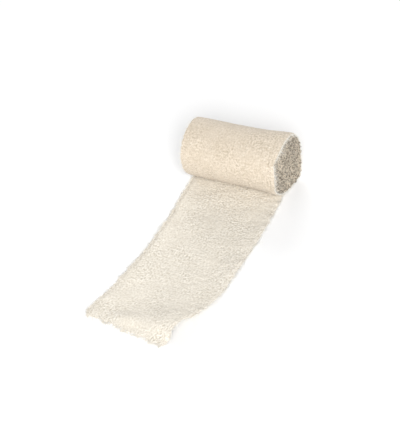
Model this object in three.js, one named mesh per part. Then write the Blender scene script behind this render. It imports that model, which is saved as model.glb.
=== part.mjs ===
import * as THREE from 'three';

// Crepe bandage roll: one woven cotton strip, wound into a roll that lies on its side, with its
// loose end drawn out over the surface in front of it.
// Millimetres, +Z up. The roll's axis runs along X and the loose end runs towards -Y. The origin
// is on the surface, under the middle of the roll.

// The strip. Its thickness here takes in the crinkles of the crepe.
const STRIP_WIDTH = 75;
const STRIP_THICKNESS = 1.2;
const TURN_PITCH = 0.9;

// The roll. The flat spot is where its own weight presses it on the surface, and the end faces
// stand out a little at the middle.
const ROLL_RADIUS = 22.4;
const FLAT_SPOT_HALF = 6;
const SHOULDER_RADIUS = 1.2;
const SHOULDER_FADE = THREE.MathUtils.degToRad(25);
const FACE_CROWN = 0.7;

// Mesh steps
const ROLL_STEPS = 76;
const STEPS_PER_SECTION = 3;
const RIBS_BETWEEN_SHOULDERS = 15;
const SHOULDER_STEPS = [0, 0.35, 1];
const FACE_RINGS = [0.84, 0.62, 0.4, 0.2];
const SLOPE_STEP = 0.05;

const CLOTH_COLOUR = 0xece0ca;

// Shallow uneven places on the round of the roll: across runs from -1 at its left end to 1 at its
// right, turn is the angle from the bottom by way of the back, and lift is outwards.
const ROLL_LUMPS = [
  { across: -0.55, turnDeg: 215, reach: 0.35, spreadDeg: 32, lift: -0.5 },
  { across: 0.1, turnDeg: 250, reach: 0.6, spreadDeg: 40, lift: 0.35 },
  { across: 0.75, turnDeg: 150, reach: 0.3, spreadDeg: 45, lift: 0.4 },
  { across: -0.3, turnDeg: 95, reach: 0.5, spreadDeg: 35, lift: 0.35 },
  { across: -0.9, turnDeg: 160, reach: 0.4, spreadDeg: 25, lift: 0.7 },
  { across: 0.9, turnDeg: 36, reach: 0.5, spreadDeg: 15, lift: 1.5 },
  { across: 0.95, turnDeg: 140, reach: 0.35, spreadDeg: 28, lift: 1.2 },
  { across: 0.9, turnDeg: 192, reach: 0.5, spreadDeg: 18, lift: -0.5 },
  { across: 0.9, turnDeg: 231, reach: 0.5, spreadDeg: 14, lift: 0.7 },
  { across: 0.95, turnDeg: 306, reach: 0.28, spreadDeg: 24, lift: 1.2 },
];

// How far the right selvage of the outer turn drifts along the axis: turn is again the angle from
// the bottom, and lift is outwards. It is drawn in most where it comes down on the loose end.
const RIM_DRIFT = [
  { turnDeg: 38, spreadDeg: 22, lift: 1.6 },
  { turnDeg: 230, spreadDeg: 26, lift: -1.3 },
  { turnDeg: 308, spreadDeg: 36, lift: -2.2 },
];

// Turns that stand out of an end face: turn is again the angle from the bottom, part is how far
// from the axis they lie, as a share of the radius.
const FACE_LUMPS = [
  { turnDeg: 120, part: 0.6, spreadDeg: 50, reach: 0.25, lift: 0.45 },
  { turnDeg: 290, part: 0.7, spreadDeg: 40, reach: 0.2, lift: -0.3 },
];

// The loose end, a row for each section across it, from the roll to the cut end: where its two
// selvages lie, and how far the right one stands off the surface. The strip narrows a little
// where it was drawn out, its end swings to the left, and its right corner is turned over a
// crest and drops back to the surface.
const SECTIONS = [
  { leftX: -39.9, leftY: -7.2, rightX: 35.6, rightY: -7.2, rise: 0 },
  { leftX: -38.4, leftY: -27.7, rightX: 37.8, rightY: -28, rise: 0 },
  { leftX: -36.1, leftY: -50, rightX: 38.2, rightY: -50, rise: 0 },
  { leftX: -35.3, leftY: -72, rightX: 37.8, rightY: -74, rise: 0 },
  { leftX: -36.1, leftY: -91.7, rightX: 37.5, rightY: -96.3, rise: 0.4 },
  { leftX: -37.5, leftY: -106.7, rightX: 36.5, rightY: -112.5, rise: 1.6 },
  { leftX: -39.0, leftY: -116.6, rightX: 34.8, rightY: -123.7, rise: 3.3 },
  { leftX: -40.8, leftY: -127.3, rightX: 33.2, rightY: -133.1, rise: 5.2 },
  { leftX: -42.9, leftY: -136, rightX: 29.8, rightY: -140.5, rise: 7.2 },
  { leftX: -43.8, leftY: -140.8, rightX: 26.3, rightY: -145.1, rise: 8.3 },
  { leftX: -45.0, leftY: -144.6, rightX: 24.7, rightY: -149.8, rise: 8.5 },
  { leftX: -46.0, leftY: -148, rightX: 23.8, rightY: -154, rise: 7 },
  { leftX: -46.4, leftY: -150.8, rightX: 22.9, rightY: -157.1, rise: 3.8 },
  { leftX: -46.3, leftY: -153.2, rightX: 21.6, rightY: -159.5, rise: 1.4 },
  { leftX: -45.4, leftY: -155.4, rightX: 20.1, rightY: -162.6, rise: 0 },
];
// How far across the strip, as a share from its left selvage, the crest of the corner begins
const CREST_START = 0.28;

// Soft cockles where the loose end stands off the surface: across runs from -1 at the left
// selvage to 1 at the right one, and along and length are counted in section rows.
const COCKLES = [
  { across: -1, along: 1.3, length: 0.5, reach: 0.34, lift: 1.3 },
  { across: -1, along: 3.0, length: 0.7, reach: 0.3, lift: 1.7 },
  { across: -1, along: 5.6, length: 1.1, reach: 0.38, lift: 1.5 },
  { across: 1, along: 1.9, length: 0.6, reach: 0.3, lift: 1.2 },
  { across: 1, along: 3.6, length: 0.6, reach: 0.34, lift: 1.5 },
  { across: -0.15, along: 11.6, length: 1.6, reach: 0.3, lift: 2.2 },
];
// Lower than this a cockle lies flat on the surface
const COCKLE_SINK = 0.25;

const lastSection = SECTIONS.length - 1;
const halfWidth = STRIP_WIDTH / 2;
const axisHeight = Math.sqrt(ROLL_RADIUS ** 2 - FLAT_SPOT_HALF ** 2);

// The round of the roll starts at the back of its flat spot and ends where its front comes down
// on the top of the loose end, one turn of cloth nearer to the axis.
const rollStart = Math.asin(FLAT_SPOT_HALF / ROLL_RADIUS);
const innerRadius = ROLL_RADIUS - TURN_PITCH;
const rollEnd = 2 * Math.PI - Math.acos((axisHeight - STRIP_THICKNESS) / innerRadius);
const creviceY = innerRadius * Math.sin(rollEnd);

function bell(offset, reach) {
  return Math.exp(-((offset / reach) ** 2));
}

function rollLump(across, turn) {
  return ROLL_LUMPS.reduce((sum, lump) => {
    const around = THREE.MathUtils.radToDeg(turn) - lump.turnDeg;
    return sum + lump.lift * bell(across - lump.across, lump.reach) * bell(around, lump.spreadDeg);
  }, 0);
}

function rimDrift(turn) {
  return RIM_DRIFT.reduce((sum, drift) => {
    const around = THREE.MathUtils.radToDeg(turn) - drift.turnDeg;
    return sum + drift.lift * bell(around, drift.spreadDeg);
  }, 0);
}

// Place along the axis of a point of the outer turn. The drift dies out towards the left.
function alongAxis(across, turn) {
  return across * halfWidth + Math.max(0, across) ** 3 * rimDrift(turn);
}

// How far an end face stands out, at a share of the radius and an angle from the bottom
function faceHeight(part, turn) {
  const crown = FACE_CROWN * (1 - part * part);
  return FACE_LUMPS.reduce((sum, lump) => {
    const around = THREE.MathUtils.radToDeg(turn) - lump.turnDeg;
    return sum + lump.lift * bell(part - lump.part, lump.reach) * bell(around, lump.spreadDeg);
  }, crown);
}

// How far the rounded shoulder draws the roll in, near its ends
function shoulderInset(across) {
  const fromEdge = (1 - Math.abs(across)) * halfWidth;
  if (fromEdge >= SHOULDER_RADIUS) return 0;
  return SHOULDER_RADIUS - Math.sqrt(SHOULDER_RADIUS ** 2 - (SHOULDER_RADIUS - fromEdge) ** 2);
}

function rollPoint(across, turn) {
  const share = (turn - rollStart) / (rollEnd - rollStart);
  const spiral = THREE.MathUtils.lerp(ROLL_RADIUS, innerRadius, share);
  const fromEnds = Math.min(turn - rollStart, rollEnd - turn);
  const fade = THREE.MathUtils.smoothstep(fromEnds, 0, SHOULDER_FADE);
  const radius = spiral + fade * (rollLump(across, turn) - shoulderInset(across));
  return new THREE.Vector3(
    alongAxis(across, turn),
    radius * Math.sin(turn),
    axisHeight - radius * Math.cos(turn),
  );
}

const leftSelvage = new THREE.CatmullRomCurve3(
  SECTIONS.map((row) => new THREE.Vector3(row.leftX, row.leftY, 0)),
);
const rightSelvage = new THREE.CatmullRomCurve3(
  SECTIONS.map((row) => new THREE.Vector3(row.rightX, row.rightY, row.rise)),
);

function cockleHeight(across, along) {
  const height = COCKLES.reduce((sum, cockle) => {
    const sideways = bell(across - cockle.across, cockle.reach);
    return sum + cockle.lift * sideways * bell(along - cockle.along, cockle.length);
  }, 0);
  return Math.max(0, height - COCKLE_SINK);
}

// A point of the loose end's underside; along counts section rows from the roll
function undersidePoint(across, along) {
  const left = leftSelvage.getPoint(along / lastSection);
  const right = rightSelvage.getPoint(along / lastSection);
  const sideways = (across + 1) / 2;
  const crest = THREE.MathUtils.smoothstep(sideways, CREST_START, 1);
  const point = left.clone().lerp(right, sideways);
  point.z = Math.max(0, right.z) * crest + cockleHeight(across, along);
  return point;
}

// The same point on the top face, one thickness off along the cloth's own normal
function topPoint(across, along) {
  const lengthways = undersidePoint(across, Math.min(along + SLOPE_STEP, lastSection))
    .sub(undersidePoint(across, Math.max(along - SLOPE_STEP, 0)));
  const sideways = undersidePoint(Math.min(across + SLOPE_STEP, 1), along)
    .sub(undersidePoint(Math.max(across - SLOPE_STEP, -1), along));
  const normal = lengthways.cross(sideways).normalize();
  return undersidePoint(across, along).addScaledVector(normal, STRIP_THICKNESS);
}

// Places of the ribs across the strip, from -1 to 1, closer together on the shoulders
function ribPlaces() {
  const shoulder = SHOULDER_STEPS.map((step) => 1 - step * SHOULDER_RADIUS / halfWidth);
  const inner = shoulder.at(-1);
  const between = Array.from(
    { length: RIBS_BETWEEN_SHOULDERS },
    (_, i) => THREE.MathUtils.lerp(-inner, inner, (i + 1) / (RIBS_BETWEEN_SHOULDERS + 1)),
  );
  return [...shoulder.map((place) => -place), ...between, ...shoulder.reverse()];
}

// Places of the rows along the loose end, in section rows, without the one at the roll
const ROWS = Array.from(
  { length: lastSection * STEPS_PER_SECTION },
  (_, i) => (i + 1) / STEPS_PER_SECTION,
);

// One rib: the closed outline of the strip and the roll at one place across the strip, from the
// cut end along the underside, round the roll and back along the top face
function ribOutline(across) {
  const x = across * halfWidth;
  const beforeRoll = undersidePoint(across, 0).setY(creviceY);
  const underside = ROWS.map((along) => undersidePoint(across, along)).reverse();
  const underRoll = [0, FLAT_SPOT_HALF].map((y) => new THREE.Vector3(x, y, 0));
  const round = Array.from({ length: ROLL_STEPS }, (_, i) => {
    const share = (i + 1) / (ROLL_STEPS + 1);
    return rollPoint(across, THREE.MathUtils.lerp(rollStart, rollEnd, share));
  });
  const crevice = new THREE.Vector3(alongAxis(across, rollEnd), creviceY, STRIP_THICKNESS);
  const top = ROWS.map((along) => topPoint(across, along));
  return [...underside, beforeRoll, ...underRoll, ...round, crevice, ...top];
}

// The end face of the roll, in rings that close on its middle
function addEndFace(rim, side, rimPoints, add, face) {
  let ring = rim;
  FACE_RINGS.forEach((part) => {
    const inner = rimPoints.map((point) => {
      const y = point.y;
      const z = point.z - axisHeight;
      const turn = Math.atan2(-y, z) + Math.PI;
      // The turn inside this one goes on where it ends, so the drift goes on past the bottom
      const drift = Math.max(0, side) * (rimDrift(turn) + rimDrift(turn + 2 * Math.PI));
      const x = side * (halfWidth + faceHeight(part, turn)) + drift * part * part;
      return add(new THREE.Vector3(x, y * part, axisHeight + z * part));
    });
    inner.forEach((_, k) => {
      const next = (k + 1) % inner.length;
      face(ring[k], ring[next], inner[k]);
      face(ring[next], inner[next], inner[k]);
    });
    ring = inner;
  });
  const middle = add(new THREE.Vector3(rimPoints[0].x + side * FACE_CROWN, 0, axisHeight));
  ring.forEach((corner, k) => face(corner, ring[(k + 1) % ring.length], middle));
}

function bandageGeometry() {
  const positions = [];
  const triangles = [];
  const add = (point) => positions.push(...point.toArray()) / 3 - 1;
  const outlines = ribPlaces().map((across) => ribOutline(across));
  const loops = outlines.map((outline) => outline.map(add));
  const around = loops[0].length;

  for (let rib = 0; rib + 1 < loops.length; rib += 1) {
    const here = loops[rib];
    const beside = loops[rib + 1];
    for (let k = 0; k < around; k += 1) {
      const next = (k + 1) % around;
      triangles.push(here[k], here[next], beside[k]);
      triangles.push(here[next], beside[next], beside[k]);
    }
  }

  // The two sides: the thin selvage of the loose end, then the end face of the roll
  const rows = ROWS.length;
  [{ rib: 0, side: -1 }, { rib: loops.length - 1, side: 1 }].forEach(({ rib, side }) => {
    const face = (a, b, c) => triangles.push(...(side > 0 ? [a, b, c] : [a, c, b]));
    const loop = loops[rib];
    for (let row = 0; row < rows; row += 1) {
      const top = around - 1 - row;
      face(loop[row], loop[row + 1], loop[top - 1]);
      face(loop[row], loop[top - 1], loop[top]);
    }
    const rim = loop.slice(rows, around - rows);
    const rimPoints = outlines[rib].slice(rows, around - rows);
    addEndFace(rim, side, rimPoints, add, face);
  });

  const geometry = new THREE.BufferGeometry();
  geometry.setAttribute('position', new THREE.Float32BufferAttribute(positions, 3));
  geometry.setIndex(triangles);
  geometry.computeVertexNormals();
  return geometry;
}

const cloth = new THREE.MeshStandardMaterial({
  color: CLOTH_COLOUR,
  roughness: 0.95,
  metalness: 0,
});

const bandage = new THREE.Mesh(bandageGeometry(), cloth);
bandage.name = 'bandage';

const model = new THREE.Group();
model.add(bandage);

export default model;
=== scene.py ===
import math
import bpy
import numpy as np
from mathutils import Matrix, Vector


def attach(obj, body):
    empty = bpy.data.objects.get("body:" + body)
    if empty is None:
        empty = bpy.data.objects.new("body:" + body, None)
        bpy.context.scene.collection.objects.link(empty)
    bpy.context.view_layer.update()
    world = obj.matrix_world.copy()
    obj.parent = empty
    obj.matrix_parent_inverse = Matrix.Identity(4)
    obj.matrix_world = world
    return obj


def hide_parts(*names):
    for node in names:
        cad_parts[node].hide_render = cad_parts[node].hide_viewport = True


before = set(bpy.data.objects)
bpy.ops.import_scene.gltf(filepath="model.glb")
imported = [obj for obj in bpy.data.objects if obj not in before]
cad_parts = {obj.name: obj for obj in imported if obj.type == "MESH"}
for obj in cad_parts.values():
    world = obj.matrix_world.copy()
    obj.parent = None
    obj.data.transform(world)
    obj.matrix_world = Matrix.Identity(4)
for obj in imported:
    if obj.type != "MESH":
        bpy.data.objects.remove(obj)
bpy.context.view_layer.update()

# Crepe bandage roll: one woven cotton strip. Its loose end lies on the surface, its outer turn
# and all the turns inside it are wound one over the other, and yarn loops stand on its selvages.
# Sizes are millimetres, and become metres when a mesh is made.
# Across runs from -1 at the left selvage to 1 at the right one. Length runs along the strip from
# its cut end. Turn is the angle round the roll, from its bottom by way of its back.
MM = 0.001                # in metres
FULL_TURN = 2 * math.pi

# The strip
STRIP_WIDTH = 75.0
CLOTH_THICKNESS = 0.55
CLOTH_MIDDLE = 0.5        # height of the cloth's middle where it lies on the surface
LOWEST_MIDDLE = 0.3
TURN_PITCH = 0.9          # from one turn to the next, outwards

# The roll
ROLL_RADIUS = 22.4
FLAT_SPOT_HALF = 6.0
CORE_RADIUS = 0.8
SHOULDER_WIDTH = 1.2
SHOULDER_DROP = 0.35
FACE_CROWN = 0.7
FACE_POWER = 6            # how fast the end faces' form dies out inwards from the selvages
SAG_POWER = 4             # how fast the flat spot dies out towards the core
FADE_INTO_FLAT = math.radians(25)    # either side of the bottom, where lumps die out

# Mesh steps
FINE_PLACES = 1200        # along the loose end, for measuring its length
ROW_STEP = 0.6
COLUMNS = 76
INNER_ROW_STEP = 1.6
INNER_ROW_TURN = 0.36     # radians, for the tight turns near the core
INNER_COLUMNS = [0, 1, 6, 38, 69, 74, 75]    # those that the inner rows keep
TUCKED_TURN = 0.12        # the fine rows end this far past a whole turn, out of sight
JOIN_TURN = 0.05          # from the last fine row to the first inner one
SMOOTH_ANGLE = math.radians(60)

# Shallow uneven places on the round of the roll, lift is outwards
ROLL_LUMPS = [
    {"across": -0.55, "turn_deg": 215, "reach": 0.35, "spread_deg": 32, "lift": -0.5},
    {"across": 0.1, "turn_deg": 250, "reach": 0.6, "spread_deg": 40, "lift": 0.35},
    {"across": 0.75, "turn_deg": 150, "reach": 0.3, "spread_deg": 45, "lift": 0.4},
    {"across": -0.3, "turn_deg": 95, "reach": 0.5, "spread_deg": 35, "lift": 0.35},
    {"across": -0.9, "turn_deg": 160, "reach": 0.4, "spread_deg": 25, "lift": 0.7},
    {"across": 0.9, "turn_deg": 36, "reach": 0.5, "spread_deg": 15, "lift": 1.5},
    {"across": 0.95, "turn_deg": 140, "reach": 0.35, "spread_deg": 28, "lift": 1.2},
    {"across": 0.9, "turn_deg": 192, "reach": 0.5, "spread_deg": 18, "lift": -0.5},
    {"across": 0.9, "turn_deg": 231, "reach": 0.5, "spread_deg": 14, "lift": 0.7},
    {"across": 0.95, "turn_deg": 306, "reach": 0.28, "spread_deg": 24, "lift": 1.2},
]
# How far the right selvage drifts along the axis as the strip is wound
RIM_DRIFT = [
    {"turn_deg": 38, "spread_deg": 22, "lift": 1.6},
    {"turn_deg": 230, "spread_deg": 26, "lift": -1.3},
    {"turn_deg": 308, "spread_deg": 36, "lift": -2.2},
]
DRIFT_POWER = 3           # how fast the drift dies out inwards from the right selvage
# Turns that stand out of the end faces or sink into them, part is a share of the radius
FACE_LUMPS = [
    {"turn_deg": 120, "part": 0.6, "spread_deg": 50, "reach": 0.25, "lift": 0.45},
    {"turn_deg": 290, "part": 0.7, "spread_deg": 40, "reach": 0.2, "lift": -0.3},
]
# The outer turn's left selvage stands out this far and covers those inside it. It comes out
# and goes back in over these angles, in radians.
LEFT_COVER = {"out": 1.2, "over": 0.8, "back_over": 1.4}

# The loose end from the roll to the cut end, as in the CAD model:
# left x, left y, right x, right y, height of the right selvage
SECTIONS = np.array([
    (-39.9, -7.2, 35.6, -7.2, 0.0),
    (-38.4, -27.7, 37.8, -28.0, 0.0),
    (-36.1, -50.0, 38.2, -50.0, 0.0),
    (-35.3, -72.0, 37.8, -74.0, 0.0),
    (-36.1, -91.7, 37.5, -96.3, 0.4),
    (-37.5, -106.7, 36.5, -112.5, 1.6),
    (-39.0, -116.6, 34.8, -123.7, 3.3),
    (-40.8, -127.3, 33.2, -133.1, 5.2),
    (-42.9, -136.0, 29.8, -140.5, 7.2),
    (-43.8, -140.8, 26.3, -145.1, 8.3),
    (-45.0, -144.6, 24.7, -149.8, 8.5),
    (-46.0, -148.0, 23.8, -154.0, 7.0),
    (-46.4, -150.8, 22.9, -157.1, 3.8),
    (-46.3, -153.2, 21.6, -159.5, 1.4),
    (-45.4, -155.4, 20.1, -162.6, 0.0),
])
CREST_START = 0.28        # share of the width, from the left
# Waves in the loose end, along counts section rows from the roll
COCKLES = [
    {"across": -1, "along": 1.3, "length": 0.5, "reach": 0.34, "lift": 1.3},
    {"across": -1, "along": 3.0, "length": 0.7, "reach": 0.3, "lift": 1.7},
    {"across": -1, "along": 5.6, "length": 1.1, "reach": 0.38, "lift": 1.5},
    {"across": 1, "along": 1.9, "length": 0.6, "reach": 0.3, "lift": 1.2},
    {"across": 1, "along": 3.6, "length": 0.6, "reach": 0.34, "lift": 1.5},
    {"across": -0.15, "along": 11.6, "length": 1.6, "reach": 0.3, "lift": 2.2},
]
COCKLE_SINK = 0.25        # less than this high, a wave lies flat
EDGE_SINK = 0.25          # the selvages' thin border lies lower than the cloth beside it
EDGE_SINK_REACH = 1.3
SETTLING_LENGTH = 25.0    # before the roll, where the ripples of the loose end die out
SETTLING_TURN = 0.3       # at both ends of the outer turn, where its crinkles die out

# Crinkles of the crepe: their size along the strip and across it, and their height on the loose
# end and on the roll, where winding has drawn them out
CRINKLES = [
    {"along": 2.3, "across": 2.6, "loose": 0.22, "wound": 0.08},
    {"along": 3.6, "across": 6.5, "loose": 0.13, "wound": 0.08},
    {"along": 8.0, "across": 2.2, "loose": 0.07, "wound": 0.10},
    {"along": 7.0, "across": 9.0, "loose": 0.12, "wound": 0.09},
]
DEEPEST_CRINKLE = -0.2
RIPPLE = {"along": 15.0, "across": 24.0, "lift": 0.5}

# Selvages: how far they stand in and out and wave up and down
EDGE_WANDER = [
    {"along": 7.0, "loose": 0.7, "wound": 0.3, "inner": 0.35},
    {"along": 2.7, "loose": 0.45, "wound": 0.35, "inner": 0.85},
]
WANDER_POWER = 8          # how fast this dies out inwards from the selvages
# How far the cloth is drawn in at the selvages, so that its loops reach the full width
SELVAGE_SET_IN = {"loose": 0.8, "wound": 0.2, "inner": 0.2}
FRILL = {"along": 5.0, "reach": 3.0, "loose": 1.0, "wound": 0.24, "inner": 0.44}

# Cut end: how uneven it is, and the share of this that its first rows take
CUT_JAG = {"across": 3.2, "out": 1.0, "shares": (1.0, 0.5)}
ROWS_BEHIND_CUT = 4       # the row that tells which way the cut end faces

# Loops of weft yarn on the selvages
OUTER_LOOPS = {"pitch": 0.9, "reach": 0.8, "radius": 0.11, "points": 7}
INNER_LOOPS = {"pitch": 1.25, "reach": 0.9, "radius": 0.22, "points": 6}
LOOP_BEND = (-0.2, 1.2)   # half turns, from one foot of a loop to the other
LOOP_FOOT = 0.15          # share of the reach by which a loop is set into the cloth
LOOP_LEAST = 0.3          # share of the reach that every loop has
LOOP_LEAN = 0.4           # spread of their lean up and down, next to straight out
LOOP_TWIST = 0.35         # spread of the height of one foot over the other
LOOP_SHIFT = 0.35         # share of the pitch, either way
LOOP_HALF_WIDTH = (0.36, 0.6)    # shares of the pitch
YARN_THICKNESS = (0.75, 1.25)    # shares of the radius
YARN_SIDES = 4
LOWEST_SKIN = 0.02        # least height of any yarn above the surface

# Warp ends that stand out of the cut end, some alone and some in tufts, at places across the
# strip. They start at their root inside the cloth, and point sideways and upwards by chance.
FRINGE = {
    "alone": 150, "in_tufts": 190, "tufts": 36, "tuft_spread": 0.008, "outermost": 0.99,
    "root": 0.5, "least": 0.5, "points": 7, "radius": 0.15, "curl": 0.35, "lowest": 0.15,
    "sideways": 0.35, "upwards": 0.05, "up_spread": 0.15,
    "thickness": (0.75, 1.2), "thinning": 0.45,
}
# Fibre ends that stand off the cloth, and closer together off its selvages. They stand up from
# the cloth by a share of their heading along it.
CLOTH_LINT = {"count": 1300, "stand": (0.15, 0.9), "reach": (0.8, 2.6), "radius": 0.028}
SELVAGE_LINT = {"count": 5200, "spread": 0.7, "stand": 0.3, "least": 0.6, "radius": 0.055}
LINT = {"points": 5, "sides": 3, "curl": 0.45, "lowest": 0.05, "thickness": (0.7, 1.3), "tip": 0.5}
BARE_ROWS = (2, 12)       # without lint, at the cut end and where the outer turn is tucked in
FIBRE_REACH = (2.0, 0.8)  # shape and size of the gamma spread of ravelled and selvage fibres
LOOP_REACH = (2.0, 0.35)  # the same for the loops, as a share of their reach
PITCH_CURL = 0.5          # of a loose thread up and down, next to that sideways

# Seeds of the random fields and draws
SEEDS = {"crinkles": 11, "wander": 31, "frill": 41, "ripple": 51, "cut": 61,
         "outer_loops": 2, "inner_loops": 3, "fringe": 5, "lint": 8}
GRAIN_CELLS = 512
GRAIN_GAIN = 1.5
# Lines along which a field is read, for the cut end, and for the left and the right selvage
CUT_LINE = 0.5
WANDER_LINES = {-1: -6.8, 1: 7.8}
FRILL_LINES = {-1: -9.0, 1: 10.0}

half_width = STRIP_WIDTH / 2
axis_height = math.sqrt(ROLL_RADIUS ** 2 - FLAT_SPOT_HALF ** 2)
outer_middle = ROLL_RADIUS - CLOTH_MIDDLE
last_section = len(SECTIONS) - 1
columns = np.linspace(-1, 1, COLUMNS)


def unit(vectors):
    return vectors / np.linalg.norm(vectors, axis=-1, keepdims=True)


def smooth(share):
    share = np.clip(share, 0, 1)
    return share * share * (3 - 2 * share)


def bell(offset, reach):
    return np.exp(-((offset / reach) ** 2))


def from_selvage(across):
    """Distance from the nearer selvage, in millimetres."""
    return (1 - np.abs(across)) * half_width


def grain(seed, u, v):
    """Smooth random field from about -1 to 1 that changes over one unit of u and v."""
    turns = np.random.default_rng(seed).uniform(0, FULL_TURN, (GRAIN_CELLS, GRAIN_CELLS))
    u, v = np.broadcast_arrays(u, v)
    cell_u, cell_v = np.floor(u).astype(int), np.floor(v).astype(int)

    def corner(du, dv):
        turn = turns[(cell_u + du) % GRAIN_CELLS, (cell_v + dv) % GRAIN_CELLS]
        return np.cos(turn) * (u - cell_u - du) + np.sin(turn) * (v - cell_v - dv)

    share_u, share_v = smooth(u - cell_u), smooth(v - cell_v)
    near = corner(0, 0) * (1 - share_u) + corner(1, 0) * share_u
    far = corner(0, 1) * (1 - share_u) + corner(1, 1) * share_u
    return GRAIN_GAIN * (near * (1 - share_v) + far * share_v)


def through(points, along):
    """Smooth curve through points, which makes no loops where they are unevenly spaced. Along
    counts the stretches between them."""
    ends = np.vstack([2 * points[:1] - points[1:2], points, 2 * points[-1:] - points[-2:-1]])
    stretch = np.clip(along.astype(int), 0, len(points) - 2)
    a, b, c, d = (ends[stretch + k] for k in range(4))
    gap_a, gap_b, gap_c = (
        np.sqrt(np.linalg.norm(q - p, axis=-1, keepdims=True)) for p, q in ((a, b), (b, c), (c, d))
    )
    leave = ((b - a) / gap_a - (c - a) / (gap_a + gap_b)) * gap_b + (c - b)
    arrive = (c - b) + ((d - c) / gap_c - (d - b) / (gap_b + gap_c)) * gap_b
    t = (along - stretch)[:, None]
    return (b * (1 + 2 * t) * (1 - t) ** 2 + c * (3 - 2 * t) * t ** 2
            + leave * t * (1 - t) ** 2 - arrive * (1 - t) * t ** 2)


def loose_underside(across, along):
    """Underside of the loose end, as in the CAD model; along counts section rows."""
    left = through(np.column_stack([SECTIONS[:, :2], np.zeros(len(SECTIONS))]), along)
    right = through(SECTIONS[:, 2:], along)
    share = ((across + 1) / 2)[None, :, None]
    points = left[:, None] * (1 - share) + right[:, None] * share
    cockles = sum(
        c["lift"] * bell(across[None, :] - c["across"], c["reach"])
        * bell(along[:, None] - c["along"], c["length"]) for c in COCKLES
    )
    crest = smooth((share[..., 0] - CREST_START) / (1 - CREST_START))
    rise = np.maximum(0, right[:, None, 2]) * crest
    points[..., 2] = rise + np.maximum(0, cockles - COCKLE_SINK)
    return points


def grid_normals(points):
    return unit(np.cross(np.gradient(points, axis=1), np.gradient(points, axis=0)))


def crinkle(length, across, kind):
    """Height of the crinkles, at a length and a place across the strip."""
    x = across[None, :] * half_width
    return sum(
        c[kind] * grain(SEEDS["crinkles"] + n, length[:, None] / c["along"], x / c["across"])
        for n, c in enumerate(CRINKLES)
    )


def edge_wander(length, side, kind):
    """How far a selvage stands out of its straight line."""
    line = np.full_like(length, WANDER_LINES[side])
    return sum(
        e[kind] * grain(SEEDS["wander"] + n, length / e["along"], line)
        for n, e in enumerate(EDGE_WANDER)
    )


def widened(across, length, kind):
    """Places across the strip in millimetres, with its uneven selvages."""
    left, right = (edge_wander(length, side, kind)[:, None] for side in (-1, 1))
    out = np.where(across[None, :] < 0, left, right) - SELVAGE_SET_IN[kind]
    out = np.abs(across[None, :]) ** WANDER_POWER * out
    return across[None, :] * half_width + np.sign(across)[None, :] * out


def frill(across, length, kind):
    """Height of the waves in the selvages, which are a little longer than the cloth beside."""
    line = np.where(across < 0, FRILL_LINES[-1], FRILL_LINES[1])[None, :]
    wave = grain(SEEDS["frill"], length[:, None] / FRILL["along"], line)
    return FRILL[kind] * wave * bell(from_selvage(across)[None, :], FRILL["reach"])


def off_surface(points, lowest):
    """The points, none lower than what the strip lies on."""
    points[..., 2] = np.maximum(points[..., 2], lowest)
    return points


def with_uneven_edges(rows, length):
    """The loose end's rows, with its selvages and cut end in and out of their straight lines."""
    level = np.array([1, 1, 0])
    x = columns * half_width
    wider = (widened(columns, length, "loose") - x)[..., None] / STRIP_WIDTH
    rows += wider * (rows[:, -1:] - rows[:, :1]) * level
    jag = grain(SEEDS["cut"], x / CUT_JAG["across"], np.full(COLUMNS, CUT_LINE))
    outwards = unit(rows[0] - rows[ROWS_BEHIND_CUT]) * level
    for row, share in enumerate(CUT_JAG["shares"]):
        rows[row] += share * CUT_JAG["out"] * jag[:, None] * outwards
    return rows


def loose_relief(length, from_roll):
    """Height of the loose end's middle over its underside."""
    across = columns[None, :] * half_width / RIPPLE["across"]
    ripple = grain(SEEDS["ripple"], length[:, None] / RIPPLE["along"], across)
    away = smooth(from_roll / SETTLING_LENGTH)[:, None]
    waves = crinkle(length, columns, "loose") + frill(columns, length, "loose")
    edge_sink = EDGE_SINK * bell(from_selvage(columns), EDGE_SINK_REACH)
    return (CLOTH_MIDDLE - edge_sink + RIPPLE["lift"] * away * np.maximum(0, ripple)
            + np.maximum(DEEPEST_CRINKLE, waves))


def loose_end():
    """Rows of the loose end's middle from the cut end to the roll, their lengths, and the length
    at each point, measured back from the roll along the cloth."""
    fine = np.linspace(last_section, 0, FINE_PLACES)
    centre = loose_underside(np.array([0.0]), fine)[:, 0]
    run = np.concatenate([[0], np.cumsum(np.linalg.norm(np.diff(centre, axis=0), axis=1))])
    length = np.linspace(0, run[-1], round(run[-1] / ROW_STEP))
    rows = loose_underside(columns, np.interp(length, run, fine))

    steps = np.linalg.norm(np.diff(rows, axis=0), axis=-1)
    from_roll = np.vstack([np.cumsum(steps[::-1], axis=0)[::-1], np.zeros(COLUMNS)])
    laid_length = run[-1] - from_roll
    rows = with_uneven_edges(rows, length)
    raised = grid_normals(rows) * loose_relief(length, run[-1] - length)[..., None]
    return off_surface(rows + raised, LOWEST_MIDDLE), length, laid_length


def face_height(part, around):
    """How far an end face stands out, at a share of the radius and an angle in degrees."""
    return FACE_CROWN * (1 - part ** 2) + sum(
        c["lift"] * bell(part - c["part"], c["reach"])
        * bell(around - c["turn_deg"], c["spread_deg"]) for c in FACE_LUMPS
    )


def rim_drift(theta):
    """How far the right selvage stands out after a whole angle, from the start of the roll."""
    degrees = np.degrees(theta)
    return sum(
        d["lift"] * (degrees > d["turn_deg"] - 180)
        * bell((degrees - d["turn_deg"] + 180) % 360 - 180, d["spread_deg"]) for d in RIM_DRIFT
    )


def spiral_radius(turn):
    """Radius of the cloth's middle after an angle from the start of the roll."""
    return outer_middle - TURN_PITCH * turn / FULL_TURN


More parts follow.
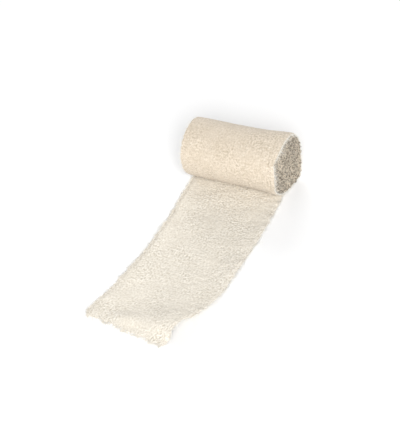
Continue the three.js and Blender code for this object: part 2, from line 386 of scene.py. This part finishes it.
def wound(across, turn, length, kind):
    """Rows of the wound cloth's middle, each at its angle round the roll."""
    theta = turn[:, None]
    around = np.degrees(theta % FULL_TURN)
    part = spiral_radius(theta) / outer_middle

    from_bottom = np.minimum(theta % FULL_TURN, -theta % FULL_TURN)
    lumps = sum(
        c["lift"] * bell(across[None, :] - c["across"], c["reach"])
        * bell(around - c["turn_deg"], c["spread_deg"]) for c in ROLL_LUMPS
    )
    past_shoulder = np.clip(1 - from_selvage(across)[None, :] / SHOULDER_WIDTH, 0, 1)
    shoulder = SHOULDER_DROP * past_shoulder ** 2
    uneven = part ** 2 * smooth(from_bottom / FADE_INTO_FLAT) * (lumps - shoulder)
    radius = spiral_radius(theta) + uneven + part * frill(across, length, kind)

    near_edge = np.abs(across[None, :]) ** FACE_POWER
    face = np.sign(across)[None, :] * near_edge * face_height(part, around)
    covering = (LEFT_COVER["out"] * smooth(theta / LEFT_COVER["over"])
                * smooth((FULL_TURN - theta) / LEFT_COVER["back_over"]))
    drift = part ** 2 * rim_drift(theta) * np.maximum(0, across[None, :]) ** DRIFT_POWER
    sag = np.maximum(0, outer_middle * np.cos(theta) - (axis_height - CLOTH_MIDDLE))
    x = (widened(across, length, kind) + face
         - covering * near_edge * (across[None, :] < 0) + drift)
    y = radius * np.sin(theta)
    z = axis_height - radius * np.cos(theta) + sag * part ** SAG_POWER
    return off_surface(np.stack([x, y, z], axis=-1), LOWEST_MIDDLE)


def roll_rows(start_turn, end_turn, start_length, row_step):
    """Angles of rows from one angle to another, and their lengths."""
    turn, length = [start_turn], [start_length]
    while turn[-1] < end_turn:
        radius = spiral_radius(turn[-1])
        step = min(row_step / radius, INNER_ROW_TURN)
        turn.append(turn[-1] + step)
        length.append(length[-1] + step * radius)
    return np.array(turn), np.array(length)


def outer_turn(start_length):
    """Rows of the outer turn's middle, their angles and their lengths."""
    end = FULL_TURN + TUCKED_TURN
    turn, length = roll_rows(ROW_STEP / outer_middle, end, start_length, ROW_STEP)
    outward = np.stack([np.zeros_like(turn), np.sin(turn), -np.cos(turn)], axis=-1)
    settled = smooth(np.minimum(turn, FULL_TURN - turn) / SETTLING_TURN)[:, None]
    height = crinkle(length, columns, "wound") * settled
    rows = wound(columns, turn, length, "wound") + outward[:, None] * height[..., None]
    return off_surface(rows, LOWEST_MIDDLE), turn, length


def under_roll(before, after, start_length, run):
    """Rows that join the loose end to the outer turn under the roll, and their lengths."""
    share = np.linspace(0, 1, round(run / ROW_STEP), endpoint=False)[1:]
    rows = before + (after - before) * share[:, None, None]
    return rows, start_length + run * share


def mesh_piece(name, points, faces, uv, material):
    """A new piece from points in millimetres, with one uv pair for each point."""
    mesh = bpy.data.meshes.new(name)
    mesh.from_pydata((points.reshape(-1, 3) * MM).tolist(), [], faces)
    corners = np.zeros(len(mesh.loops), dtype=np.int32)
    mesh.loops.foreach_get("vertex_index", corners)
    layer = mesh.uv_layers.new(name="UVMap")
    layer.data.foreach_set("uv", np.asarray(uv, np.float32)[corners].ravel())
    mesh.materials.append(material)
    piece = bpy.data.objects.new(name, mesh)
    bpy.context.scene.collection.objects.link(piece)
    bpy.ops.object.select_all(action="DESELECT")
    piece.select_set(True)
    bpy.context.view_layer.objects.active = piece
    return piece


def quads(rows, width, first):
    """Faces of a grid whose points are numbered row by row from first."""
    corner = first + np.arange(rows - 1)[:, None] * width + np.arange(width - 1)[None, :]
    corner = corner.ravel()
    return np.column_stack([corner, corner + 1, corner + width + 1, corner + width]).tolist()


def strip_map(across, row_count, length):
    """Places across and lengths of the points of a grid of rows, in millimetres."""
    return np.column_stack([np.tile(across, row_count) * half_width, length])


def bandage_strip(outer, outer_length, inner, inner_length, material):
    """The whole strip as one sheet, its lengths given for each point of the outer rows and for
    each inner row. The fine outer rows meet the coarse inner rows out of sight."""
    fine_count = len(outer) * COLUMNS
    width = len(INNER_COLUMNS)
    faces = quads(len(outer), COLUMNS, 0) + quads(len(inner), width, fine_count)
    last_row = fine_count - COLUMNS
    for k in range(width - 1):
        fine_edge = range(last_row + INNER_COLUMNS[k], last_row + INNER_COLUMNS[k + 1] + 1)
        faces.append([*fine_edge, fine_count + k + 1, fine_count + k])
    points = np.vstack([outer.reshape(-1, 3), inner.reshape(-1, 3)])
    uv = MM * np.vstack([
        strip_map(columns, len(outer), outer_length.ravel()),
        strip_map(columns[INNER_COLUMNS], len(inner), np.repeat(inner_length, width)),
    ])
    piece = mesh_piece("bandage_strip", points, faces, uv, material)
    solid = piece.modifiers.new("cloth", "SOLIDIFY")
    solid.thickness = CLOTH_THICKNESS * MM
    solid.offset = 0
    bpy.ops.object.modifier_apply(modifier=solid.name)
    bpy.ops.object.shade_smooth_by_angle(angle=SMOOTH_ANGLE)
    return piece


def yarn_faces(count, points, sides):
    """Faces of closed tubes whose rings of points are numbered tube by tube."""
    k = np.arange(sides)
    beside = (k + 1) % sides
    one = np.concatenate([
        np.column_stack([p * sides + k, (p + 1) * sides + k,
                         (p + 1) * sides + beside, p * sides + beside])
        for p in range(points - 1)
    ])
    faces = []
    for n in range(count):
        first = n * points * sides
        last = first + (points - 1) * sides
        faces += (one + first).tolist()
        faces.append([first + j for j in range(sides)])
        faces.append([last + j for j in reversed(range(sides))])
    return faces


def yarns(name, paths, radii, facing, sides, material):
    """Many short yarns as one joined mesh. paths is (yarns, points, 3), radii (yarns, points),
    and facing (yarns, 3) is a direction square to each yarn."""
    count, points = radii.shape
    along = unit(np.gradient(paths, axis=1))
    beside = unit(np.cross(along, facing[:, None]))
    over = np.cross(beside, along)
    round_it = np.arange(sides) / sides
    angles = (np.arange(sides) * FULL_TURN / sides)[:, None]
    ring = np.cos(angles) * beside[:, :, None] + np.sin(angles) * over[:, :, None]
    skin = off_surface(paths[:, :, None] + radii[:, :, None, None] * ring, LOWEST_SKIN)
    run = np.cumsum(np.linalg.norm(np.diff(paths, axis=1, prepend=paths[:, :1]), axis=-1), axis=1)
    uv = np.stack([
        np.broadcast_to(run[:, :, None] * MM, (count, points, sides)),
        np.broadcast_to(round_it, (count, points, sides)),
    ], axis=-1).reshape(-1, 2)
    piece = mesh_piece(name, skin, yarn_faces(count, points, sides), uv, material)
    bpy.ops.object.shade_smooth()
    return piece


def edge_line(rows, length, side):
    """A selvage of a grid of rows: its points, and the ways out of and along it."""
    edge, inside = (rows[:, -1], rows[:, -2]) if side > 0 else (rows[:, 0], rows[:, 1])
    return {"length": length, "point": edge, "out": unit(edge - inside),
            "along": unit(np.gradient(edge, axis=0))}


def at_lengths(line, key, lengths):
    """One of the vectors of a selvage, at any lengths."""
    return np.column_stack([np.interp(lengths, line["length"], line[key][:, k]) for k in range(3)])


def selvage_loops(name, rows, length, loops, seed, material):
    """Weft yarns that turn back at both selvages of a stretch of the strip."""
    rng = np.random.default_rng(seed)
    pitch, points = loops["pitch"], loops["points"]
    bend = np.linspace(*LOOP_BEND, points) * math.pi
    paths, facing, radii = [], [], []
    for side in (-1, 1):
        line = edge_line(rows, length, side)
        count = int((length[-1] - length[0]) / pitch)
        place = np.linspace(length[0] + pitch, length[-1] - pitch, count)
        place = place + rng.uniform(-LOOP_SHIFT, LOOP_SHIFT, count) * pitch
        point, out, along = (at_lengths(line, key, place) for key in ("point", "out", "along"))
        out, along = unit(out), unit(along)
        up = unit(np.cross(out, along))
        leaning = unit(out + up * rng.normal(0, LOOP_LEAN, count)[:, None])
        twisted = unit(along + up * rng.normal(0, LOOP_TWIST, count)[:, None])
        reach = loops["reach"] * (LOOP_LEAST + rng.gamma(*LOOP_REACH, count))[:, None, None]
        half = pitch * rng.uniform(*LOOP_HALF_WIDTH, count)[:, None, None]
        sideways = half * np.cos(bend)[None, :, None] * twisted[:, None]
        outwards = reach * (np.sin(bend)[None, :, None] - LOOP_FOOT) * leaning[:, None]
        paths.append(point[:, None] + sideways + outwards)
        facing.append(np.cross(leaning, twisted))
        thickness = loops["radius"] * rng.uniform(*YARN_THICKNESS, count)
        radii.append(thickness[:, None] * np.ones(points))
    return yarns(name, np.concatenate(paths), np.concatenate(radii),
                 np.concatenate(facing), YARN_SIDES, material)


def wandering(start, heading, facing, reach, points, curl, rng):
    """Paths of loose threads that bend as they go, sideways and off their plane."""
    count = len(start)
    step = (reach / (points - 1))[:, None]
    yaw = np.cumsum(rng.normal(0, curl, (count, points - 1)), axis=1)
    pitch = np.cumsum(rng.normal(0, curl * PITCH_CURL, (count, points - 1)), axis=1)
    beside = unit(np.cross(facing, heading))
    way = (np.cos(yaw)[..., None] * heading[:, None] + np.sin(yaw)[..., None] * beside[:, None]
           + np.sin(pitch)[..., None] * facing[:, None])
    moved = np.cumsum(step[..., None] * unit(way), axis=1)
    return start[:, None] + np.concatenate([np.zeros((count, 1, 3)), moved], axis=1)


def fringe_places(rng):
    """Places across the strip of the warp ends that stand out, in order."""
    end = FRINGE["outermost"]
    tuft = rng.uniform(-end, end, FRINGE["tufts"])
    alone = rng.uniform(-end, end, FRINGE["alone"])
    place = np.concatenate([alone, rng.choice(tuft, FRINGE["in_tufts"])])
    spread = rng.normal(0, FRINGE["tuft_spread"], len(place))
    return np.sort(np.clip(place + spread, -end, end))


def cut_end_fringe(rows, material):
    """Warp ends that stand out of the cut end, ravelled in tufts."""
    rng = np.random.default_rng(SEEDS["fringe"])
    place = fringe_places(rng)
    count, points = len(place), FRINGE["points"]
    column = np.arange(COLUMNS)
    index = np.interp(place, columns, column)
    edge, behind = (
        np.column_stack([np.interp(index, column, row[:, k]) for k in range(3)])
        for row in (rows[0], rows[ROWS_BEHIND_CUT])
    )
    out = unit(edge - behind)
    beside = unit(np.cross(out, (0, 0, 1)))
    up = np.cross(beside, out)
    heading = unit(out + beside * rng.normal(0, FRINGE["sideways"], count)[:, None]
                   + up * rng.normal(FRINGE["upwards"], FRINGE["up_spread"], count)[:, None])
    reach = FRINGE["least"] + rng.gamma(*FIBRE_REACH, count)
    root = edge - FRINGE["root"] * out
    paths = wandering(root, heading, up, reach + FRINGE["root"], points, FRINGE["curl"], rng)
    thinning = 1 - FRINGE["thinning"] * np.linspace(0, 1, points) ** 2
    radii = FRINGE["radius"] * rng.uniform(*FRINGE["thickness"], count)[:, None] * thinning
    return yarns("cut_end_fringe", off_surface(paths, FRINGE["lowest"]), radii, up,
                 YARN_SIDES, material)


def lint(rows, loose_rows_count, material):
    """Fine fibre ends that stand off the cloth that shows, and closer together off its selvages."""
    rng = np.random.default_rng(SEEDS["lint"])
    count = CLOTH_LINT["count"] + SELVAGE_LINT["count"]
    row = rng.integers(BARE_ROWS[0], len(rows) - BARE_ROWS[1], count)
    edge = rng.choice([0, COLUMNS - 1], SELVAGE_LINT["count"])
    column = np.concatenate([rng.integers(1, COLUMNS - 1, CLOTH_LINT["count"]), edge])
    on_edge = (column == 0) | (column == COLUMNS - 1)
    at_edge = on_edge[:, None]

    # The grid's normals point up on the loose end, and into the roll beyond it
    outwards = np.where(row < loose_rows_count, 1, -1)[:, None]
    normal = grid_normals(rows)[row, column] * outwards
    side = np.where(column == 0, -1, 1)[:, None]
    right, left = np.minimum(column + 1, COLUMNS - 1), np.maximum(column - 1, 0)
    out = side * unit(rows[row, right] - rows[row, left])
    tangent = unit(np.cross(normal, rng.normal(size=(count, 3))))
    tangent = np.where(at_edge, unit(out + SELVAGE_LINT["spread"] * tangent), tangent)
    stand_off_edge = SELVAGE_LINT["stand"] * rng.normal(size=(count, 1))
    stand_off_cloth = rng.uniform(*CLOTH_LINT["stand"], (count, 1))
    stand = np.where(at_edge, stand_off_edge, stand_off_cloth)
    heading = unit(tangent + normal * stand)
    facing = unit(np.cross(heading, np.cross(normal, heading)))

    start = rows[row, column] + normal * CLOTH_THICKNESS / 2 * ~at_edge
    reach_off_edge = SELVAGE_LINT["least"] + rng.gamma(*FIBRE_REACH, count)
    reach = np.where(on_edge, reach_off_edge, rng.uniform(*CLOTH_LINT["reach"], count))
    paths = wandering(start, heading, facing, reach, LINT["points"], LINT["curl"], rng)
    thickness = np.where(at_edge, SELVAGE_LINT["radius"], CLOTH_LINT["radius"])
    radii = (thickness * rng.uniform(*LINT["thickness"], count)[:, None]
             * np.linspace(1, LINT["tip"], LINT["points"]))
    return yarns("lint", off_surface(paths, LINT["lowest"]), radii, facing,
                 LINT["sides"], material)


class Value:
    """A node's output that takes part in sums, so that shader maths reads as an expression."""

    def __init__(self, shader, socket):
        self.shader = shader
        self.socket = socket

    def combined(self, operation, first, second):
        return self.shader.node("ShaderNodeMath", {"operation": operation}, {0: first, 1: second})

    def __add__(self, other):
        return self.combined("ADD", self, other)

    def __radd__(self, other):
        return self.combined("ADD", other, self)

    def __sub__(self, other):
        return self.combined("SUBTRACT", self, other)

    def __rsub__(self, other):
        return self.combined("SUBTRACT", other, self)

    def __mul__(self, other):
        return self.combined("MULTIPLY", self, other)

    def __rmul__(self, other):
        return self.combined("MULTIPLY", other, self)


class Shader:
    """The nodes of one material."""

    def __init__(self, name):
        self.material = bpy.data.materials.new(name)
        self.material.use_nodes = True
        self.tree = self.material.node_tree
        self.tree.nodes.clear()

    def node(self, kind, settings=None, inputs=None, output=0):
        """Adds a node, sets it up, and feeds its sockets with values or with other outputs."""
        made = self.tree.nodes.new(kind)
        for key, setting in (settings or {}).items():
            setattr(made, key, setting)
        for key, value in (inputs or {}).items():
            if isinstance(value, Value):
                self.tree.links.new(value.socket, made.inputs[key])
            else:
                made.inputs[key].default_value = value
        return Value(self, made.outputs[output])

    def own_map(self):
        """Place on the piece's own map, in metres."""
        return self.node("ShaderNodeTexCoord", output="UV")

    def place(self):
        """Place in the object, in metres."""
        return self.node("ShaderNodeTexCoord", output="Object")

    def sine(self, value):
        return self.node("ShaderNodeMath", {"operation": "SINE"}, {0: value})

    def between(self, value, low, high):
        """Share of the way of a value from low to high, held to 0 and 1."""
        return self.node("ShaderNodeMapRange", {"clamp": True},
                         {"Value": value, "From Min": low, "From Max": high})

    def blend(self, share, first, second):
        """A colour between two colours. The node's colour sockets go by number."""
        return self.node("ShaderNodeMix", {"data_type": "RGBA"}, {0: share, 6: first, 7: second},
                         output=2)

    def parts(self, vector):
        """The first two parts of a vector."""
        return [self.node("ShaderNodeSeparateXYZ", None, {0: vector}, output=n) for n in (0, 1)]

    def vector(self, x, y):
        return self.node("ShaderNodeCombineXYZ", None, {0: x, 1: y})

    def noise(self, vector, scale, detail):
        """Soft noise about 0, with as many features to a unit as its scale."""
        return self.node("ShaderNodeTexNoise", {"noise_dimensions": "3D"},
                         {"Vector": vector, "Scale": scale, "Detail": detail}) - 0.5

    def finish(self, colour, roughness, height, sheen):
        """Bump, with heights in millimetres, cloth shader and output. Sheen is the same all over,
        so it is a plain number."""
        bump = self.node("ShaderNodeBump", None,
                         {"Height": height, "Strength": 1.0, "Distance": MM})
        return self.shown(self.node("ShaderNodeBsdfPrincipled", None, {
            "Base Color": colour, "Roughness": roughness, "Normal": bump,
            "Sheen Weight": sheen, "Sheen Roughness": 0.6, "Specular IOR Level": 0.2,
        }))

    def shown(self, surface):
        out = self.tree.nodes.new("ShaderNodeOutputMaterial")
        self.tree.links.new(surface.socket, out.inputs["Surface"])
        return self.material


# Colours of the cloth, where it is wound and where one layer of it lies loose
# The deep colours go in the hollows of the relief and the light ones on its raised places: painted
# shade and painted light.
WOUND_DEEP = (0.46, 0.38, 0.27, 1)
WOUND_LIGHT = (0.80, 0.705, 0.59, 1)
LOOSE_DEEP = (0.58, 0.52, 0.42, 1)
LOOSE_LIGHT = (0.91, 0.86, 0.77, 1)
LOOSE_LENGTH = 168.0      # from the cut end to where the loose colours end
CHANGE_LENGTH = 12.0      # from there to the wound colours

# Pitch of the yarns, how far the twist of the warp pushes them about, and how much of the weave
# they and their crossings make up
WARP_PITCH = 0.62
WEFT_PITCH = 0.78
WARP_BEND = 1.0
WEFT_BEND = -1.4
KINK = 0.55
WEAVE = {"warp": 0.35, "weft": 0.25, "crossings": 0.5}

# The relief of the crepe: how much each of its features raises it, and how much it lightens it
# The lightening is painted light on raised places and painted shade in hollows, except the uneven
# tone, which is the cloth's own.
RAISES = {"weave": 0.085, "pucker": 0.25, "pebble": 0.6, "streak": 0.35, "fluff": 0.1}
LIGHTENS = {"weave": 0.2, "pucker": 0.35, "pebble": 1.25, "streak": 0.5, "uneven": 0.25}
DEEPEST, HIGHEST = -0.44, 0.38
LEAST_PEBBLE = 0.5
# Where winding has drawn the cloth, the pebbles and the shade of the fluff are less. Smooth and
# streaked places set in and are full at these distances from the middle of the roll.
DRAWN_SMOOTH = (14.0, -24.0)
STREAKED = (-5.0, 30.0)
PEBBLE_LOSS = {"wound": 0.12, "smooth": 0.25}
FLUFF_SHADE = {"full": 0.24, "loss": 0.12}

# A soft, broken furrow just inside the left selvage. Its places are millimetres from the
# selvage. Its colour takes a share of the cloth's, and more of it towards the roll.
# The furrow's dark colour is painted shade, stronger towards the roll.
FURROW = {"start": 0.8, "deepest": 1.8, "end": 4.4, "wander": 1.6, "depth": 0.2,
          "colour": (0.42, 0.37, 0.30, 1), "share": 0.34, "more": 0.5, "more_from": (20.0, 150.0)}

# Specks in the cotton, which set in at one value of a noise of their own, and are full at another
NEPS = {"moved": (0.0, 0.0, 0.0), "scale": 1.15, "shows": (0.22, 0.28), "share": 0.6,
        "colour": (0.93, 0.89, 0.81, 1)}
HUSKS = {"moved": (37.0, 11.0, 5.0), "scale": 1.0, "shows": (0.372, 0.385), "share": 0.7,
         "colour": (0.30, 0.22, 0.13, 1)}

# Yarns: their two colours, how many millimetres wide a clump of one shade is, and how much of
# the shade the clumps give
YARNS = {
    "selvage_yarn": {"light": (0.93, 0.88, 0.79, 1), "deep": (0.76, 0.69, 0.58, 1),
                     "clump_size": 2.0, "clumps": 0.5},
    # The inner yarns on the end faces are painted dark, near black in clumps: painted shade of the
    # faces and the hollows between turns.
    "inner_yarn_painted_shade": {"light": (0.725, 0.642, 0.52, 1), "deep": (0.155, 0.126, 0.087, 1),
                   "clump_size": 1.5, "clumps": 1.0},
    "raveled_yarn": {"light": (0.95, 0.91, 0.83, 1), "deep": (0.80, 0.74, 0.63, 1),
                     "clump_size": 3.0, "clumps": 0.4},
}
YARN_SHADE = 0.6          # of a yarn that has no clumps
YARN_FLUFF = {"scale": 2.6, "shade": 0.5, "height": 0.06}
YARN_TWIST = {"turns_per_mm": 2.6, "plies": 2.0, "shade": 0.1, "height": 0.024}
FIBRE_COLOURS = (0.93, 0.90, 0.83, 1), (0.98, 0.96, 0.91, 1)
FLOOR_COLOURS = (0.92, 0.92, 0.92, 1), (0.94, 0.94, 0.94, 1)


def weighted(features, weights):
    """Sum of features, each times its weight."""
    return sum(weight * features[name] for name, weight in weights.items())


def weave(s, mm, across, along):
    """Warp and weft yarns that cross over and under."""
    bend = s.noise(mm, scale=0.45, detail=2.0)
    kink = KINK * s.noise(mm, scale=1.3, detail=1.0)
    warp_at = (across + WARP_BEND * bend + kink) * (math.pi / WARP_PITCH)
    weft_at = (along + WEFT_BEND * bend + kink) * (math.pi / WEFT_PITCH)
    return weighted({
        "warp": s.sine(warp_at * 2.0),
        "weft": s.sine(weft_at * 2.0),
        "crossings": s.sine(warp_at) * s.sine(weft_at),
    }, WEAVE)


def drawn_out(s, across, along, across_scale, along_scale):
    """Noise with other sizes across the strip than along it."""
    return s.noise(s.vector(across * across_scale, along * along_scale), scale=1.0, detail=1.0)


def furrow_depth(s, mm, across):
    """How deep the furrow inside the left selvage is, from 0 to 1."""
    wander = FURROW["wander"] * s.noise(mm, scale=0.22, detail=1.0)
    from_left = across + half_width + wander
    near_side = s.between(from_left, FURROW["start"], FURROW["deepest"])
    far_side = 1.0 - s.between(from_left, FURROW["deepest"], FURROW["end"])
    unbroken = s.between(s.noise(mm, scale=0.14, detail=1.0), low=-0.3, high=0.15)
    return near_side * far_side * unbroken


def specked(s, cloth, mm, specks):
    """The colour of the cloth with one kind of specks on it."""
    moved = s.node("ShaderNodeVectorMath", {"operation": "ADD"}, {0: mm, 1: specks["moved"]})
    shown = s.between(s.noise(moved, scale=specks["scale"], detail=0.0), *specks["shows"])
    return s.blend(specks["share"] * shown, cloth, specks["colour"])


def crepe_cotton():
    """Undyed crepe weave, drawn from the strip's own map, in millimetres."""
    s = Shader("crepe_cotton")
    mm = s.node("ShaderNodeVectorMath", {"operation": "SCALE"}, {0: s.own_map(), "Scale": 1 / MM})
    across, along = s.parts(mm)
    wound_here = s.between(along, LOOSE_LENGTH, LOOSE_LENGTH + CHANGE_LENGTH)

    # Puckers across the strip, pebbles that are rougher in some patches, and streaks along it
    drawn_smooth = wound_here * s.between(across, *DRAWN_SMOOTH)
    rougher = s.between(s.noise(mm, scale=0.05, detail=1.0), low=-0.16, high=0.16)
    pebble = s.noise(mm, scale=0.74, detail=0.6) * (LEAST_PEBBLE + rougher)
    pebble_loss = PEBBLE_LOSS["wound"] * wound_here + PEBBLE_LOSS["smooth"] * drawn_smooth
    streak = drawn_out(s, across, along, across_scale=0.62, along_scale=0.2)
    features = {
        "weave": weave(s, mm, across, along),
        "pucker": drawn_out(s, across, along, across_scale=0.36, along_scale=0.6),
        "pebble": pebble * (1.0 - pebble_loss),
        "streak": streak * wound_here * s.between(across, *STREAKED),
        "fluff": s.noise(mm, scale=3.0, detail=3.0),
        "uneven": s.noise(mm, scale=0.08, detail=2.0),
    }
    furrow = furrow_depth(s, mm, across)
    height = weighted(features, RAISES) - FURROW["depth"] * furrow

    # The colour follows the relief: painted light on its raised places and painted shade in its
    # hollows, with an uneven tone of its own.
    fluff_shade = features["fluff"] * (FLUFF_SHADE["full"] - FLUFF_SHADE["loss"] * drawn_smooth)
    painted_light_and_tone = s.between(weighted(features, LIGHTENS) + fluff_shade, DEEPEST, HIGHEST)
    deep = s.blend(wound_here, LOOSE_DEEP, WOUND_DEEP)
    light = s.blend(wound_here, LOOSE_LIGHT, WOUND_LIGHT)
    cloth = s.blend(painted_light_and_tone, deep, light)
    # Painted shade in the furrow
    painted_furrow_shade = FURROW["share"] + FURROW["more"] * s.between(along, *FURROW["more_from"])
    painted_furrow_shade = painted_furrow_shade * (1.0 - wound_here) * furrow
    cloth = s.blend(painted_furrow_shade, cloth, FURROW["colour"])
    cloth = specked(s, specked(s, cloth, mm, NEPS), mm, HUSKS)
    return s.finish(cloth, roughness=0.95 - 0.1 * painted_light_and_tone, height=height, sheen=0.2)


def cotton_fibre():
    """Single pale fibres, too fine to show any twist."""
    s = Shader("cotton_fibre")
    shade = 0.5 + s.noise(s.place(), scale=0.9 / MM, detail=0.0)
    colour = s.blend(shade, *FIBRE_COLOURS)
    return s.shown(s.node("ShaderNodeBsdfPrincipled", None, {
        "Base Color": colour, "Roughness": 0.9, "Sheen Weight": 0.6, "Specular IOR Level": 0.3,
    }))


def cotton_yarn(name):
    """A soft twisted yarn. The twist is drawn from the yarn's own map, which holds its length
    and the share of the way round it."""
    yarn = YARNS[name]
    s = Shader(name)
    run, round_it = s.parts(s.own_map())
    turns = run * (YARN_TWIST["turns_per_mm"] / MM) + round_it * YARN_TWIST["plies"]
    twist = s.sine(turns * FULL_TURN)
    place = s.place()
    fluff = s.noise(place, scale=YARN_FLUFF["scale"] / MM, detail=2.0)
    clumpy = s.noise(place, scale=1 / MM / yarn["clump_size"], detail=1.0)
    clump = s.between(clumpy, low=-0.12, high=0.12)
    plain = (1 - yarn["clumps"]) * YARN_SHADE
    # The twist lightens the yarn on its ridges and darkens it in its grooves, painted light and
    # painted shade; the fluff lightens it where it raises it.
    share = (yarn["clumps"] * clump + plain
             + YARN_FLUFF["shade"] * fluff + YARN_TWIST["shade"] * twist)
    height = YARN_TWIST["height"] * twist + YARN_FLUFF["height"] * fluff
    colour = s.blend(share, yarn["deep"], yarn["light"])
    return s.finish(colour, roughness=0.95, height=height, sheen=0.3)


def plain_floor():
    """A near white studio floor."""
    s = Shader("plain_floor")
    shade = 0.5 + s.noise(s.place(), scale=3.0, detail=2.0)
    colour = s.blend(shade, *FLOOR_COLOURS)
    return s.shown(s.node("ShaderNodeBsdfPrincipled", None,
                          {"Base Color": colour, "Roughness": 0.85}))


# Studio: the view that the photograph has. Distance, pan and lens are millimetres, pan is along
# the picture's sides, and angles are degrees. The lights and the floor are in metres and watts.
VIEW_AZIMUTH = 36.93
VIEW_ELEVATION = 42.55
VIEW_ROLL = -13.54
VIEW_DISTANCE = 800.3
VIEW_PAN = (33.66, 28.82)
LENS = 89.7
LIGHTS = [
    {"name": "key", "azimuth": 36, "elevation": 37, "power": 58.0},
    {"name": "rim", "azimuth": -150, "elevation": 21, "power": 26.0},
]
LIGHT_DISTANCE = 2.2
LIGHT_SIZE = 1.4
LIT_PLACE = Vector((0, -0.08, 0.01))
ROOM_COLOUR = (1, 1, 1, 1)
ROOM_LIGHT = 0.35
FLOOR_SIZE = 6.0
FLOOR_DROP = 0.0001


def towards(azimuth, elevation):
    """Direction from the object to a place, azimuth 0 is in front of the roll."""
    a, e = math.radians(azimuth), math.radians(elevation)
    return Vector((math.sin(a) * math.cos(e), -math.cos(a) * math.cos(e), math.sin(e)))


def camera():
    back = towards(VIEW_AZIMUTH, VIEW_ELEVATION)
    level = Vector((-back.y, back.x, 0)).normalized()
    right = Matrix.Rotation(math.radians(VIEW_ROLL), 3, back) @ level
    up = back.cross(right)
    place = (back * VIEW_DISTANCE - right * VIEW_PAN[0] - up * VIEW_PAN[1]) * MM
    turned = Matrix((right, up, back)).transposed().to_4x4()
    data = bpy.data.cameras.new("camera")
    data.lens = LENS
    made = bpy.data.objects.new("camera", data)
    made.matrix_world = Matrix.Translation(place) @ turned
    bpy.context.scene.collection.objects.link(made)
    bpy.context.scene.camera = made


def floor():
    bpy.ops.object.select_all(action="DESELECT")
    bpy.ops.mesh.primitive_plane_add(size=FLOOR_SIZE, location=(0, 0, -FLOOR_DROP))
    plane = bpy.context.object
    plane.name = "floor"
    plane.data.materials.append(plain_floor())


def lamp(light):
    data = bpy.data.lights.new(light["name"], "AREA")
    data.shape = "DISK"
    data.size = LIGHT_SIZE
    data.energy = light["power"]
    made = bpy.data.objects.new(light["name"], data)
    direction = towards(light["azimuth"], light["elevation"])
    made.location = LIT_PLACE + direction * LIGHT_DISTANCE
    made.rotation_mode = "QUATERNION"
    made.rotation_quaternion = direction.to_track_quat("Z", "Y")
    bpy.context.scene.collection.objects.link(made)


def room():
    world = bpy.data.worlds.new("room")
    world.use_nodes = True
    background = world.node_tree.nodes["Background"]
    background.inputs["Color"].default_value = ROOM_COLOUR
    background.inputs["Strength"].default_value = ROOM_LIGHT
    bpy.context.scene.world = world
    bpy.context.scene.view_settings.view_transform = "Standard"


camera()
floor()
for light in LIGHTS:
    lamp(light)
room()

# The strip's rows, from its cut end to the core of the roll
loose_rows, loose_length, laid_length = loose_end()
under_run = -SECTIONS[0, 1]
loose_total = loose_length[-1]
turn_rows, turn_angle, turn_length = outer_turn(loose_total + under_run)
under_rows, under_length = under_roll(loose_rows[-1], turn_rows[0], loose_total, under_run)
outer_rows = np.concatenate([loose_rows, under_rows, turn_rows])
outer_length = np.concatenate([loose_length, under_length, turn_length])
wound_length = np.repeat(outer_length[len(loose_rows):, None], COLUMNS, axis=1)
point_length = np.vstack([laid_length, wound_length])

core_angle = (outer_middle - CORE_RADIUS) / TURN_PITCH * FULL_TURN
inner_start = turn_length[-1] + JOIN_TURN * outer_middle
inner_angle, inner_length = roll_rows(
    turn_angle[-1] + JOIN_TURN, core_angle, inner_start, INNER_ROW_STEP)
inner_rows = wound(columns[INNER_COLUMNS], inner_angle, inner_length, "inner")

strip = bandage_strip(outer_rows, point_length, inner_rows, inner_length, crepe_cotton())
trimmings = [
    selvage_loops("selvage_loops", outer_rows, outer_length, OUTER_LOOPS,
                  SEEDS["outer_loops"], cotton_yarn("selvage_yarn")),
    selvage_loops("inner_turn_loops", inner_rows, inner_length, INNER_LOOPS,
                  SEEDS["inner_loops"], cotton_yarn("inner_yarn_painted_shade")),
    cut_end_fringe(loose_rows, cotton_yarn("raveled_yarn")),
    lint(outer_rows, len(loose_rows), cotton_fibre()),
]

for piece in (strip, *trimmings):
    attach(piece, "root")
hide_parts("bandage")
